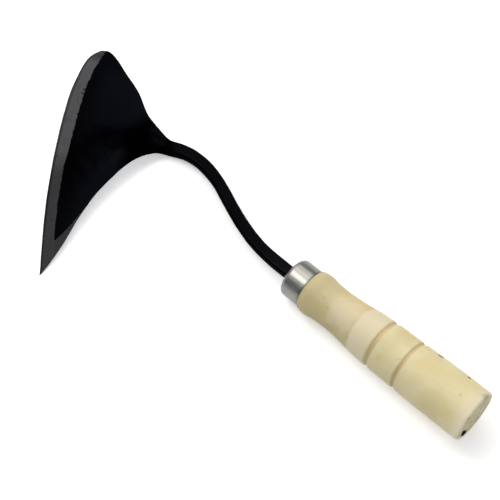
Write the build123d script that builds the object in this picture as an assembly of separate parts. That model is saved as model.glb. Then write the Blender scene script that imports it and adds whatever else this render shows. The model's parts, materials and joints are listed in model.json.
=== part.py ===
from build123d import *
import math
import os

# Hand-forged hand hoe with a curved leaf-shaped blade on a swan neck.
# Frame: origin at the centre of the sawn butt of the handle, +X out of the butt along
# the handle's axis, so the blade is at -X.  The neck bends in the XY plane, and its hump
# is on the +Y side.  +Z is the side that the hollow face of the blade looks to.

# ---- handle and ferrule, millimetres ----
GRIP_LENGTH = 123.0         # wood that shows behind the ferrule
FERRULE_LENGTH = 14.4
FERRULE_RADIUS = 12.2
FERRULE_WALL = 0.9
FERRULE_ROUNDING = 2.9      # rounding of the cap's front rim
NECK_OPENING = 10.0         # round hole in the cap's front wall
WAIST = [(0, 12.8), (4.3, 13.75), (9.5, 13.25), (22.5, 12.65), (31.5, 13.25), (41.7, 14.55)]
FRONT_GROOVE = (52.3, 55.9, 15.25)   # start and end behind the ferrule, wood radius
REAR_GROOVE = (72.6, 75.7, 15.65)
GROOVE_DEPTH = 1.0
BUTT_RADIUS = 16.25
BUTT_STRAIGHT = 24.0        # length of the true cylinder next to the butt
BUTT_ROUNDING = 1.8

# ---- neck and tang ----
# The neck's centreline is given as (distance in front of the ferrule, Y).
BAR = 7.5                   # across the flats of the squared neck
BAR_ROUNDING = 1.6
ROOT_ROUNDING = 1.0         # the bar's corners are sharper where it meets the blade
ROOT_STEP = 0.15            # the bar is this much smaller than the blade's root, all round
ROOT_OVERLAP = 0.6          # the bar ends inside the blade
OVERLAP_STEP = 0.55         # and tapers by this much there, to stay under the blade's skin
NECK_LINE = [(28.6, 1.5), (61.6, 11.6), (79, 18.05), (92.6, 20.4), (110.6, 17.6)]
NECK_REACH = (119.9, 14.5)   # where the neck meets the blade
FLARE_START = 0.8           # the neck begins to widen and turn here, 1 at the blade
NECK_SECTIONS = 20
TANG_LENGTH = 76.0          # from the inside of the cap's front wall
TANG_FRONT = 6.8            # across the flats
TANG_REAR = 4.0

# ---- blade ----
# Its plane passes through the neck's end and contains the Y direction.  The outline is
# given in that plane, from the neck's end: (away from the neck, along Y).
BLADE_TURN = 47.5           # degrees from the neck's plane to the blade's plane
TIP = (-2.5, -109)
LOBE = (69.8, 8.6)
LOWER_EDGE = [(-1.2, -4.5), (5.2, -14.5), (8.6, -31), (8.4, -50), (5.8, -70), (0.2, -88), TIP]
UPPER_EDGE = [(1.2, 4.5), (12, 4.3), (22, 4.9), (33, 8.8), (48, 10.8), (62, 12.2), (67, 11.2), LOBE]
CUTTING_EDGE = [TIP, (28.7, -74.4), (55, -38), (70, -9), (71.8, 2), LOBE]
ROOT_THICKNESS = 7.5
BLADE_THICKNESS = 2.3
EDGE_THICKNESS = 0.5
TROUGH_DEPTH = 4.5          # of the hollow that continues the neck's line
TROUGH_PLACE = 0.3          # deepest here, 0 at the neck and 1 at the cutting edge
BEVEL_WIDTH = 7.0
POINT_BEVEL = 6.0           # how much wider the bevel is at the point

FERRULE_REAR = -GRIP_LENGTH
FERRULE_FRONT = FERRULE_REAR - FERRULE_LENGTH
CAP_INSIDE = FERRULE_FRONT + FERRULE_WALL

TURN = math.radians(BLADE_TURN)
BLADE_OUT = Vector(-math.cos(TURN), 0, math.sin(TURN))
BLADE_ALONG = Vector(0, 1, 0)
BLADE_NORMAL = Vector(math.sin(TURN), 0, math.cos(TURN))
NECK_END = Vector(FERRULE_FRONT - NECK_REACH[0], NECK_REACH[1], 0)
STEPS = [i / 10 for i in range(11)]


def blade_point(out, along, height=0.0):
    """A point given in the blade's plane, raised by height towards its hollow side."""
    return NECK_END + BLADE_OUT * out + BLADE_ALONG * along + BLADE_NORMAL * height


# ---- handle ----


def groove(start, end, radius):
    """Rounded groove in a turned profile drawn in the XY plane."""
    middle = (start + end) / 2
    return ThreePointArc(
        (FERRULE_REAR + start, radius),
        (FERRULE_REAR + middle, radius - GROOVE_DEPTH),
        (FERRULE_REAR + end, radius),
    )


def handle():
    """Turned grip with a spigot under the ferrule and a blind hole burnt to the tang's shape."""
    spigot = FERRULE_RADIUS - FERRULE_WALL
    rounding = FERRULE_ROUNDING - FERRULE_WALL
    waist = [(FERRULE_REAR + x, radius) for x, radius in WAIST]
    front = groove(*FRONT_GROOVE)
    rear = groove(*REAR_GROOVE)
    butt_front = (-BUTT_STRAIGHT, BUTT_RADIUS)
    outline = [
        Polyline((0, BUTT_RADIUS), (0, 0), (CAP_INSIDE, 0), (CAP_INSIDE, spigot - rounding)),
        RadiusArc((CAP_INSIDE, spigot - rounding), (CAP_INSIDE + rounding, spigot), rounding),
        Polyline((CAP_INSIDE + rounding, spigot), (FERRULE_REAR, spigot), waist[0]),
        Spline(*waist, front @ 0),
        front,
        Line(front @ 1, rear @ 0),
        rear,
        Spline(rear @ 1, butt_front, tangents=[(1, 0.03), (1, 0)]),
        Line(butt_front, (0, BUTT_RADIUS)),
    ]
    wood = revolve(make_face(outline), Axis.X)
    rims = wood.edges().filter_by(GeomType.CIRCLE).filter_by(lambda e: e.center().X > -0.01)
    return fillet(rims, BUTT_ROUNDING) - tang()


# ---- ferrule ----


def cap(front, radius, length, rounding):
    """Solid plug with a rounded front rim."""
    plug = Cylinder(radius, length, rotation=(0, 90, 0), align=(Align.CENTER, Align.CENTER, Align.MIN))
    plug = Pos(X=front) * plug
    rim = plug.edges().filter_by(GeomType.CIRCLE).sort_by(Axis.X)[0]
    return fillet(rim, rounding)


def ferrule():
    """Drawn steel cap with a round hole for the neck."""
    outside = cap(FERRULE_FRONT, FERRULE_RADIUS, FERRULE_LENGTH, FERRULE_ROUNDING)
    inside = cap(CAP_INSIDE, FERRULE_RADIUS - FERRULE_WALL, FERRULE_LENGTH, FERRULE_ROUNDING - FERRULE_WALL)
    opening = Pos(X=FERRULE_FRONT) * Cylinder(NECK_OPENING / 2, 4 * FERRULE_WALL, rotation=(0, 90, 0))
    return outside - inside - opening


# ---- forged head: tang, neck and blade are one forging ----


def square_bar(x, width, rounding):
    return Plane(origin=(x, 0, 0), z_dir=(-1, 0, 0)) * RectangleRounded(width, width, rounding)


def tang():
    """Tapered square spike inside the wood."""
    front = square_bar(CAP_INSIDE, TANG_FRONT, TANG_FRONT / 6)
    rear = square_bar(CAP_INSIDE + TANG_LENGTH, TANG_REAR, TANG_REAR / 6)
    return loft([rear, front])


def neck():
    """Squared bar bent in an S.  Near its end it widens and turns into the blade's plane."""
    blade_root = blade_point(*UPPER_EDGE[0]) - blade_point(*LOWER_EDGE[0])
    run_in = BLADE_NORMAL.cross(blade_root).normalized()
    bends = [(FERRULE_FRONT - reach, y, 0) for reach, y in NECK_LINE]
    line = Spline((CAP_INSIDE, 0, 0), *bends, NECK_END, tangents=[(-1, 0, 0), run_in])
    sections = []
    for i in range(NECK_SECTIONS + 1):
        place = i / NECK_SECTIONS
        blend = max(0.0, (place - FLARE_START) / (1 - FLARE_START)) ** 2
        up = Vector(0, 0, 1) * (1 - blend) + BLADE_NORMAL * blend
        forward = line % place
        plane = Plane(origin=line @ place, x_dir=up.cross(forward), z_dir=forward)
        width = BAR + (blade_root.length - BAR - 2 * ROOT_STEP) * blend
        height = BAR - 2 * ROOT_STEP * blend
        rounding = BAR_ROUNDING + (ROOT_ROUNDING - BAR_ROUNDING) * blend
        sections.append(plane * RectangleRounded(width, height, rounding))
    return loft(sections) + root_plug(plane, width, height)


def root_plug(plane, width, height):
    """Short tapered end of the bar, inside the blade."""
    taper = 2 * OVERLAP_STEP
    start = plane * RectangleRounded(width, height, ROOT_ROUNDING)
    end = plane.offset(ROOT_OVERLAP) * RectangleRounded(width - taper, height - taper, ROOT_ROUNDING)
    return loft([start, end])


LOWER = Spline(*LOWER_EDGE)
UPPER = Spline(*UPPER_EDGE)
CUTTING = Spline(*CUTTING_EDGE)


def fan_place(out, turn):
    """Place in the blade's plane.  out is 0 at the neck and 1 at the cutting edge;
    turn is 0 on the lower edge and 1 on the upper edge."""
    between_sides = (LOWER @ out) * (1 - turn) + (UPPER @ out) * turn
    straight_far_side = (LOWER @ 1) * (1 - turn) + (UPPER @ 1) * turn
    return between_sides + (CUTTING @ turn - straight_far_side) * out


def bevel_start(turn):
    """How far out the ground bevel starts; it is widest next to the point."""
    width = BEVEL_WIDTH + POINT_BEVEL * (1 - turn) ** 6
    return 1 - width / (CUTTING @ turn - LOWER @ 0).length


def skin_point(out, turn, side):
    """Point of the blade's hollow face (side 1) or of its back (side -1)."""
    reach = out / TROUGH_PLACE
    trough = TROUGH_DEPTH * math.sin(math.pi * turn) * reach * math.exp(1 - reach)
    thickness = BLADE_THICKNESS + (ROOT_THICKNESS - BLADE_THICKNESS) * (1 - out) ** 4
    place = fan_place(out, turn)
    return blade_point(place.X, place.Y, side * thickness / 2 - trough)


def edge_point(turn, side):
    """Point of the narrow land that the bevel leaves along the cutting edge."""
    rise = EDGE_THICKNESS if side > 0 else 0
    return skin_point(1, turn, -1) + BLADE_NORMAL * rise


def border(face, start, end):
    """The border of a face between two of its corners."""

    def miss(edge):
        forward = (edge @ 0 - start).length + (edge @ 1 - end).length
        backward = (edge @ 1 - start).length + (edge @ 0 - end).length
        return min(forward, backward)

    return min(face.edges(), key=miss)


def blade_side(side):
    """Forged face up to the bevel's start, its borders, and the edge land's border."""
    rows = [[skin_point(s * bevel_start(t), t, side) for t in STEPS] for s in STEPS]
    face = Face.make_surface_from_array_of_points(rows, tol=0.02)
    borders = {
        "root": border(face, rows[0][0], rows[0][-1]),
        "lower": border(face, rows[0][0], rows[-1][0]),
        "upper": border(face, rows[0][-1], rows[-1][-1]),
        "bevel": border(face, rows[-1][0], rows[-1][-1]),
        "edge": Edge.make_spline([edge_point(t, side) for t in STEPS]),
    }
    return face, borders


def blade():
    """Hollowed plate, thick at the neck, with a bevel ground from its hollow side."""
    hollow_face, hollow = blade_side(1)
    back_face, back = blade_side(-1)
    faces = [hollow_face, back_face]
    for name in ("root", "lower", "upper", "edge"):
        faces.append(Face.make_surface_from_curves(hollow[name], back[name]))
    for borders in (hollow, back):
        faces.append(Face.make_surface_from_curves(borders["bevel"], borders["edge"]))
    for end in (0, 1):
        ends = [Edge.make_line(borders["bevel"] @ end, borders["edge"] @ end) for borders in (hollow, back)]
        faces.append(Face.make_surface_from_curves(*ends))
    return Solid(Shell(faces))


def forged_head():
    """One solid."""
    return neck() + blade() + tang()


os.makedirs("parts", exist_ok=True)
export_step(forged_head(), "parts/forged_head.step")
export_step(ferrule(), "parts/ferrule.step")
export_step(handle(), "parts/handle.step")
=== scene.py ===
"""Looks of the hand hoe: forged head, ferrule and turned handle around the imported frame."""
import json
import math

import bmesh
import bpy
import numpy as np
from mathutils import Matrix, Vector, noise


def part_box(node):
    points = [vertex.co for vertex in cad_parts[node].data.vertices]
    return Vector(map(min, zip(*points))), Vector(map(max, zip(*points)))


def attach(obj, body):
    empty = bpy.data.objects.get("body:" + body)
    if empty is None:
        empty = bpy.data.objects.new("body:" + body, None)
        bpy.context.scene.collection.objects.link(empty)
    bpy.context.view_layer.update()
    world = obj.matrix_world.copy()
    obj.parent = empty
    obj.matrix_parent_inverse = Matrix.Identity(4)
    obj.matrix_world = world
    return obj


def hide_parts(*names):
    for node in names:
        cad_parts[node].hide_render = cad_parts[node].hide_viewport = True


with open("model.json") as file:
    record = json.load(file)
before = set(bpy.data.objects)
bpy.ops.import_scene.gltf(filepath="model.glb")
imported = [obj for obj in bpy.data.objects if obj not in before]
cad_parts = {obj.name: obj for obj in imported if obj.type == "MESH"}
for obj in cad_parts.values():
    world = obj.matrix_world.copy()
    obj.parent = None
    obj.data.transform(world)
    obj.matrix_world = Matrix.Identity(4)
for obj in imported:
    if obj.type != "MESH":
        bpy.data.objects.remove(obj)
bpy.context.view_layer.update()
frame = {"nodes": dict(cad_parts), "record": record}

MM = 0.001
WHITE = (1.0, 1.0, 1.0)
ROOT = "root"

# ---- places taken from the frame, millimetres ----
ferrule_low, ferrule_high = (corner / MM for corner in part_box("ferrule"))
handle_low, handle_high = (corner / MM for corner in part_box("handle"))
MOUTH = ferrule_low.x  # front of the ferrule
FERRULE_REAR = ferrule_high.x
BUTT = handle_high.x
FERRULE_RADIUS = ferrule_high.z
BUTT_RADIUS = handle_high.z
CAP_INSIDE = handle_low.x  # the wood's front, behind the cap's front wall
TANG_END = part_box("forged_head")[1].x / MM
FERRULE_WALL = CAP_INSIDE - MOUTH
GRIP_END = next(m for m in frame["record"]["mounts"] if m["name"] == "grip_end")
BUTT_STRAIGHT = BUTT - (GRIP_END["pos_m"][0] * 1000 - GRIP_END["dims"]["length_mm"] / 2)

# ---- handle and ferrule: sizes of their own, millimetres ----
FERRULE_ROUNDING, FERRULE_REAR_ROUNDING = 2.9, 0.6
OPENING_RADIUS, OPENING_LIP = 5.0, 0.35
FERRULE_SEGMENTS = 192
SPIGOT_GAP, CAP_GAP = 0.05, 0.1  # of the wood in the ferrule: all round, and in front
BORE_FRONT, BORE_END = 4.8, 2.9  # radius of the tang's bore
BORE_MOUTH, FRONT_FACE = 5.3, 6.5  # first rings of the spigot's flat front, from the bore outwards
WAIST = [(0, 12.8), (4.3, 13.75), (9.5, 13.25), (22.5, 12.65), (31.5, 13.25), (41.7, 14.55)]
GRIP_BODY = [(52.3, 15.2), (55.9, 15.35), (72.6, 15.6), (75.7, 15.7)]
FRONT_GROOVE, REAR_GROOVE = (52.3, 55.9), (72.6, 75.7)
GROOVE_DEPTH = 1.0
GRIP_SEGMENTS, GRIP_STEP, FACE_STEP = 288, 0.42, 0.5
BUTT_ROUNDING = 1.8
SAW_REACH = (22.0, 3.0)  # the slant fades in ahead of the butt
SAW_SLANT = 0.075  # the butt is sawn about four degrees out of square
# broken-out knot in the butt: place and reach (towards the camera's side, down), depth
KNOT, KNOT_REACH, KNOT_DEPTH = (-3.6, 10.7), (8.0, 2.7), 0.2
FERRULE_BACK_TO_STRAIGHT = BUTT - BUTT_STRAIGHT - FERRULE_REAR

# ---- forged head: sizes of its own, millimetres ----
BAR, BAR_ROUNDING = 7.5, 1.7
TANG_FRONT, TANG_REAR = 6.8, 4.0
TANG_RINGS, NECK_RINGS = 14, 170
NECK_BENDS = [(28.6, 1.5), (61.6, 11.6), (79, 18.05), (92.6, 20.4), (110.6, 17.6)]
NECK_REACH = (119.9, 14.5)
TURN_START = 0.8  # share of the neck after which it turns into the blade
BLADE_TURN = math.radians(47.5)
TIP, LOBE = (-2.95, -110), (69.8, 8.6)
LOWER_EDGE = [
    (-1.2, -4.5), (5.2, -14.5), (9.1, -31), (9.26, -41), (9.12, -50), (7.74, -60),
    (5.8, -70), (3.06, -80), (0.34, -91), (-1.02, -98), (-2.2, -103.5), TIP,
]
UPPER_EDGE = [(1.2, 4.5), (12, 4.3), (22, 4.9), (33, 8.8), (48, 10.8), (62, 12.2), (67, 11.2), LOBE]
CUTTING_EDGE = [TIP, (28.7, -74.4), (55, -38), (70, -9), (71.8, 2), LOBE]
ROOT_THICKNESS, BLADE_THICKNESS, EDGE_THICKNESS = 7.5, 2.3, 0.35
ROOT_ROUNDING, PLATE_ROUNDING = 1.2, 0.5
TROUGH_DEPTH, TROUGH_PLACE = 4.5, 0.3  # hollow of the face, and the place out where it is deepest
TROUGH_LEAN, LEAN_START, LEAN_FADE = 1.8, 0.2, 0.16  # near the root its bottom lies higher
BEVEL_WIDTH, POINT_BEVEL = 7.0, 6.0
JOINT_REACH, JOINT_BLEND = 16.0, 5.0  # how far the neck's joint is hammered out, and how softly
LOBE_TAPER, LOBE_TAPER_START = 0.98, 0.9  # the bevel runs out at the lobe
POINT_BAND_START, POINT_BAND_SLOPE = -63.0, 0.42  # ground band on the lower edge near the point
BORDER_WAVES = [(0.7, 14, 0.3), (0.35, 5, 7.1)]  # of the bevel's border: reach, length, seed
HAMMER_DENTS = [(0.16, 13.0, 0.0), (0.08, 5.5, 3.1), (0.03, 2.2, 8.3)]  # depth, grain size, seed
DENTS_ON_GROUND, GROUND_START = 0.25, -0.4  # share left on ground steel, and its start in the field

# ---- shine of the lacquer: painted shade dulls it at the blade's root and in the hollow, painted sheen lifts it on the root's upper side and far from the blade ----
# shine of the neck's lacquer, and the painted sheen on the root's upper side
NECK_GLOSS, ROOT_PAINTED_SHEEN = 0.215, 0.80
NECK_PAINTED_SHEEN_GAIN, NECK_PAINTED_SHEEN = 1.1, (92.0, 122.0)  # painted sheen: more shine far from the blade
UNDERSIDE_SHINE_IN_PAINTED_SHADE = 0.12  # painted shade: share of shine left on the neck's lower side
FADE_ABOVE, FADE_BELOW = (0.02, 0.10), (0.6, 1.0)  # across the bar, where that side ends
ROOT_PAINTED_SHADE_ON_NECK = (1.5, 13.0)  # painted shade at the root: from black to full shine, distance from the blade
ROOT_PAINTED_SHADE_ON_BLADE = (0.17, 0.36)  # the same painted shade at the root, as places out
# bottom of the hollow: places out and turn
VALLEY = [(0.2, 0.78), (0.33, 0.65), (0.47, 0.58), (0.66, 0.54), (0.79, 0.48), (1.0, 0.45)]
# painted shade along the bottom of the hollow: strength, and width across the blade
VALLEY_PAINTED_SHADE, VALLEY_PAINTED_SHADE_WIDTH = 0.7, 0.08
ROOT_PAINTED_SHADE_TONGUE, TONGUE_TURN, TONGUE_WIDTH = 0.1, 0.48, 0.16  # the root's painted shade reaches further out there
ROOT_PAINTED_SHEEN_TURN, ROOT_PAINTED_SHEEN_OUT = (0.3, 0.95), (0.13, 0.2)  # painted sheen on the root's upper side
LOWER_PAINTED_SHADE, LOWER_TURN = 0.3, (0.3, 0.6)  # painted shade: less shine on the blade's lower side
EDGE_PAINTED_SHADE, EDGE_OUT = 0.45, (0.6, 0.88)  # and painted shade towards the bevel

NECK_END = np.array([MOUTH - NECK_REACH[0], NECK_REACH[1], 0.0])
BLADE_OUT = np.array([-math.cos(BLADE_TURN), 0.0, math.sin(BLADE_TURN)])
BLADE_ALONG = np.array([0.0, 1.0, 0.0])
BLADE_NORMAL = np.array([math.sin(BLADE_TURN), 0.0, math.cos(BLADE_TURN)])

# ---- looks of the head: colours, and places in millimetres along the cutting edge ----
LACQUER_DEEP, LACQUER_LIGHT = (0.0002, 0.0002, 0.0003), (0.0004, 0.0004, 0.0006)
LACQUER_TINT = (0.68, 0.74, 1.0)
# roughness of the lacquer, and its roughness where painted shade takes the shine away
LACQUER_ROUGHNESS, PAINTED_SHADE_ROUGHNESS = (0.16, 0.24), 0.6
LACQUER_SHINE, STEEL_SHINE = (0.100, 0.125), 0.3
GROUND_DEEP, GROUND_LIGHT = (0.072, 0.072, 0.076), (0.112, 0.111, 0.117)
GROUND_BLOTCH, GROUND_ROUGHNESS, GROUND_METALLIC = (0.060, 0.060, 0.062), (0.46, 0.58), 0.5
PIT_DARK, EDGE_DARK = (0.016, 0.015, 0.015), (0.007, 0.007, 0.009)
DARKER_TO_POINT, TO_POINT_TONE = (56.0, 76.0), 0.42  # the bevel is darker towards the point
DARKER_AT_LOBE, AT_LOBE_TONE = (130.0, 137.5), 0.35  # and at the lobe
EDGE_RIM = (0.75, 1.8)  # width of the dark line along the edge
EDGE_RIM_FADE = (40.0, 95.0, 1.0, 0.55)  # that line is weaker away from the point
# pits: place along the edge, distance past the bevel's border towards the edge, size
PITS = [
    (113.0, 0.5, 0.9), (110.5, 1.0, 0.8), (106.0, 2.4, 0.5), (71.0, 5.6, 0.6),
    (57.0, 3.6, 0.5), (29.5, 3.2, 0.8), (36.5, 4.4, 0.4),
]

# ---- looks of the ferrule ----
DRAWN_DEEP, DRAWN_LIGHT = (0.235, 0.232, 0.219), (0.365, 0.360, 0.342)
# faint tarnish, and the painted shade on the ferrule's rear rim by the wood
TARNISH, REAR_RIM_PAINTED_SHADE = (0.25, 0.235, 0.20), (0.14, 0.135, 0.115)
REAR_RIM_START, REAR_RIM_END, REAR_RIM_SHARE = 2.3, 0.4, 0.6  # painted shade on the rear rim: start and end ahead of the wood, and strength
DRAWN_ROUGHNESS = (0.30, 0.41)

# ---- looks of the grip: colours, and places in millimetres behind the ferrule ----
WOOD_DEEP, WOOD_LIGHT = (0.655, 0.575, 0.325), (0.72, 0.645, 0.40)
WOOD_FRESH, SOIL = (0.72, 0.645, 0.475), (0.44, 0.37, 0.24)
GRAIN_TONE, FIBRE_TONE = (0.60, 0.48, 0.24), (0.46, 0.36, 0.19)
# tint of the handled waist, darker on the lower side by painted shade
HANDLED_UPPER, HANDLED_LOWER_IN_PAINTED_SHADE = (0.87, 0.84, 0.83), (0.77, 0.745, 0.66)
# tone of the grooves, darker on the lower side by painted shade
GROOVE_UPPER, GROOVE_LOWER_IN_PAINTED_SHADE = (0.63, 0.46, 0.25), (0.39, 0.32, 0.14)
# the wood's darker tone just behind the ferrule, and the knot's hole painted black as painted shade
BY_FERRULE_TONE, KNOT_HOLE_PAINTED_SHADE = (0.46, 0.38, 0.19), (0.004, 0.004, 0.004)
WOOD_ROUGHNESS, WOOD_SHINE = (0.50, 0.66), 0.3
PAINTED_SHADE_ACROSS = (-0.8, 0.8, 1.04, 0.865)  # painted shade: the wood is darker on its lower side
SHADE_ALONG = (55.0, 115.0, 0.96, 1.05)  # and a little lighter towards the butt
SAWN_DEEP, SAWN_LIGHT = (0.38, 0.32, 0.17), (0.72, 0.64, 0.39)
SAWN_STAIN = (0.36, 0.28, 0.14)
WAIST_END, BAND_END = (37.6, 39.8), (50.5, 52.5)  # ends of the handled waist and fresh band
# stains on the sawn face: place, reach, strength
FACE_STAINS = [
    ((-0.3, -6.2, 12.8), 2.4, 0.75), ((-0.6, 9.0, 11.6), 4.6, 0.6), ((-1.5, -13.5, 2.5), 3.4, 0.5),
]
RIM_BAND = (-9.0, -1.0)  # the butt's rim is fresh again, ahead of the sawn face
GOLD, OLIVE, PINK = (0.68, 0.53, 0.24), (0.53, 0.44, 0.19), (0.66, 0.40, 0.27)
BROWN, RED_BROWN, GREY = (0.30, 0.17, 0.08), (0.14, 0.04, 0.02), (0.42, 0.38, 0.29)
SMALL_MARK = 4.0  # larger marks get a wandering outline
# marks on the grip: distance behind the ferrule, place across, size, strength, colour
WOOD_MARKS = [
    (29, -0.65, 13, 0.6, GOLD),
    (30, -0.12, 15, 0.5, WOOD_FRESH),
    (15, 0.5, 8, 0.55, OLIVE),
    (5, 0.6, 6, 0.35, OLIVE),
    (66, -0.8, 11, 0.4, GOLD),
    (88, -0.3, 13, 0.35, GOLD),
    (61, 0.45, 2.6, 0.3, OLIVE),
    (103, 0.45, 13, 0.3, OLIVE),
    (112, 0.55, 6, 0.35, GOLD),
    (14, 0.0, 1.3, 0.45, GREY),
    (16.5, 0.07, 1.0, 0.6, GREY),
    (13, -0.08, 0.9, 0.5, GREY),
    (18.5, 0.17, 1.5, 0.45, GREY),
    (71.5, 0.0, 1.3, 0.5, PINK),
    (70, 0.09, 1.2, 0.5, PINK),
    (111, -0.3, 1.7, 0.6, PINK),
    (86.3, -0.955, 2.6, 1.0, BROWN),
    (106.7, -0.945, 1.6, 1.0, RED_BROWN),
]

# ---- light ----
HORIZON_LIGHT, ZENITH_LIGHT = 0.50, 0.88
DOME_TINT, KEY_TINT = (0.98, 1.0, 1.05), (1.0, 0.95, 0.86)
KEY_PLACE, KEY_SIZE, KEY_POWER = (-170, 990, 660), 1500, 9.7
ACCENT_PLACE, ACCENT_SIZE, ACCENT_POWER = (-498, 682, 845), 330, 2.3
TABLE_GLOW, TABLE_GLOW_SEEN = 0.08, 0.30  # light from the pale floor, and as the camera sees it
PAPER_DEEP, PAPER_LIGHT = (0.93, 0.93, 0.93), (0.96, 0.96, 0.96)
PAPER_ROUGHNESS, PAPER_SHINE = 0.8, 0.1
FLOOR_RADII, FLOOR_SEGMENTS, FLOOR_GAP = (1, 400, 2500, 9000), 48, 0.03
HULL_STRIDE, FACES_DOWN = 3, -0.9  # resting facet: stride of the points, limit of the normal
# screens around the tool: direction, full and fading half-angle in degrees, colour of the light
SCREENS = [
    ((-0.40, -0.80, 0.45), 12, 34, (0.17, 0.17, 0.17)),
    ((-0.40, 0.90, 0.10), 14, 32, (0.22, 0.22, 0.22)),
]
# unlit side of the room: where it fades in along Y and along X, and its colour
DARK_SIDE_Y, DARK_SIDE_X = (0.26, 0.33), (0.02, 0.20)
DARK_SIDE = (0.03, 0.035, 0.05)

# ---- camera: degrees, millimetres ----
CAMERA_AZIMUTH, CAMERA_ELEVATION, CAMERA_ROLL = 57.0, 63.8, 16.1
CAMERA_DISTANCE = 1000.0
FRAME_WIDTH = 291.5  # seen at the ferrule's mouth
MOUTH_RIGHT, MOUTH_UP = 24.95, -14.9  # of the ferrule's mouth from the middle of the view
SENSOR = 36.0
NEAR_CLIP, FAR_CLIP = 0.01, 50  # metres

# ---- densities of the record's material classes, grams per cubic centimetre ----
DENSITY = {"painted_metal": 7.85, "brushed_steel": 7.85, "wood": 0.62}


# ---------------------------------------- curves and meshes


class Curve:
    """Cubic curve through points, read by the fraction of its length."""

    def __init__(self, points, start=None, end=None):
        p = np.array(points, float)
        knots = np.concatenate([[0], np.cumsum(np.linalg.norm(np.diff(p, axis=0), axis=1))])
        slopes = self.slopes(p, knots, start, end)
        dense = []
        for i in range(len(p) - 1):
            h = knots[i + 1] - knots[i]
            s = np.linspace(0, 1, 200)[:, None]
            dense.append(
                (2 * s**3 - 3 * s**2 + 1) * p[i]
                + (s**3 - 2 * s**2 + s) * h * slopes[i]
                + (3 * s**2 - 2 * s**3) * p[i + 1]
                + (s**3 - s**2) * h * slopes[i + 1]
            )
        self.points = np.concatenate(dense)
        steps = np.linalg.norm(np.diff(self.points, axis=0), axis=1)
        self.lengths = np.concatenate([[0], np.cumsum(steps)])
        self.length = self.lengths[-1]

    @staticmethod
    def slopes(p, knots, start, end):
        n = len(p)
        h = np.diff(knots)
        a = np.zeros((n, n))
        b = np.zeros_like(p)
        for i in range(1, n - 1):
            a[i, i - 1], a[i, i], a[i, i + 1] = h[i], 2 * (h[i - 1] + h[i]), h[i - 1]
            b[i] = 3 * (h[i] / h[i - 1] * (p[i] - p[i - 1]) + h[i - 1] / h[i] * (p[i + 1] - p[i]))
        if start is None:
            a[0, 0], a[0, 1] = 2, 1
            b[0] = 3 * (p[1] - p[0]) / h[0]
        else:
            a[0, 0] = 1
            b[0] = start
        if end is None:
            a[-1, -1], a[-1, -2] = 2, 1
            b[-1] = 3 * (p[-1] - p[-2]) / h[-1]
        else:
            a[-1, -1] = 1
            b[-1] = end
        return np.linalg.solve(a, b)

    def at(self, fraction):
        place = np.clip(fraction, 0, 1) * self.length
        return np.array([np.interp(place, self.lengths, axis) for axis in self.points.T]).T

    def direction(self, fraction):
        step = 0.002
        d = self.at(min(1, fraction + step)) - self.at(max(0, fraction - step))
        return d / np.linalg.norm(d)


def smooth_step(x, low, high):
    t = np.clip((x - low) / (high - low), 0, 1)
    return t * t * (3 - 2 * t)


def rough(point, size, seed=0.0):
    """Smooth noise about zero, of the given grain size in millimetres."""
    return noise.noise(Vector(point) / size + Vector((seed, 1.7 * seed, -seed)))


def ring_mesh(name, rings, loop=False, end_cap=None):
    """Mesh from equal rings of points in millimetres: a tube, or a torus when loop is set."""
    count, size = len(rings), len(rings[0])
    points = np.concatenate(rings) * MM
    faces = []
    for i in range(count if loop else count - 1):
        a, b = i * size, (i + 1) % count * size
        for j in range(size):
            k = (j + 1) % size
            faces.append((a + j, a + k, b + k, b + j))
    if not loop:
        faces.append(tuple(range(size)))
        faces += end_cap or [tuple(range((count - 1) * size, count * size))]
    mesh = bpy.data.meshes.new(name)
    mesh.from_pydata(points.tolist(), [], faces)
    return finish_mesh(name, mesh)


def finish_mesh(name, mesh):
    """Outward faces, smooth shading, and an object in the scene."""
    work = bmesh.new()
    work.from_mesh(mesh)
    bmesh.ops.recalc_face_normals(work, faces=work.faces)
    work.to_mesh(mesh)
    work.free()
    mesh.shade_smooth()
    piece = bpy.data.objects.new(name, mesh)
    bpy.context.scene.collection.objects.link(piece)
    return piece


def add_field(piece, name, values):
    field = piece.data.attributes.new(name, "FLOAT", "POINT")
    field.data.foreach_set("value", np.asarray(values, np.float32))


def sharpen(piece, degrees):
    """Crisp shading across edges that turn more than this."""
    piece.data.set_sharp_from_angle(angle=math.radians(degrees))


def vertex_array(mesh):
    data = np.zeros(len(mesh.vertices) * 3)
    mesh.vertices.foreach_get("co", data)
    return data.reshape(-1, 3)


# ---------------------------------------- forged head

LOWER = Curve(LOWER_EDGE)
UPPER = Curve(UPPER_EDGE)
CUTTING = Curve(CUTTING_EDGE)


def blade_place(out, turn):
    """Place in the blade's plane: out runs from neck to edge, turn from lower to upper edge."""
    sides = LOWER.at(out) * (1 - turn) + UPPER.at(out) * turn
    chord = LOWER.at(1.0) * (1 - turn) + UPPER.at(1.0) * turn
    return sides + (CUTTING.at(turn) - chord) * out


def fan_length(turn):
    return float(np.linalg.norm(CUTTING.at(turn) - LOWER.at(0.0)))


def bevel_start(turn):
    """Where the ground bevel starts; its inner border wanders as hand grinding does."""
    width = BEVEL_WIDTH + POINT_BEVEL * (1 - turn) ** 6
    along = turn * CUTTING.length
    width += sum(
        reach * noise.noise(Vector((along / length, seed, 0)))
        for reach, length, seed in BORDER_WAVES
    )
    to_lobe = max(0.0, (turn - LOBE_TAPER_START) / (1 - LOBE_TAPER_START))
    width *= math.sqrt(1 - LOBE_TAPER * to_lobe ** 2)
    return 1 - width / fan_length(turn)


def trough(out, turn):
    """Depth of the hollow.  Its bottom runs on from the neck and bends to the edge's middle."""
    reach = out / TROUGH_PLACE
    lean = TROUGH_LEAN * math.exp(-max(0.0, out - LEAN_START) / LEAN_FADE)
    lean = 1.0 + lean * float(smooth_step(out, 0.0, LEAN_START))
    return TROUGH_DEPTH * math.sin(math.pi * turn**lean) * reach * math.exp(1 - reach)


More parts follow.
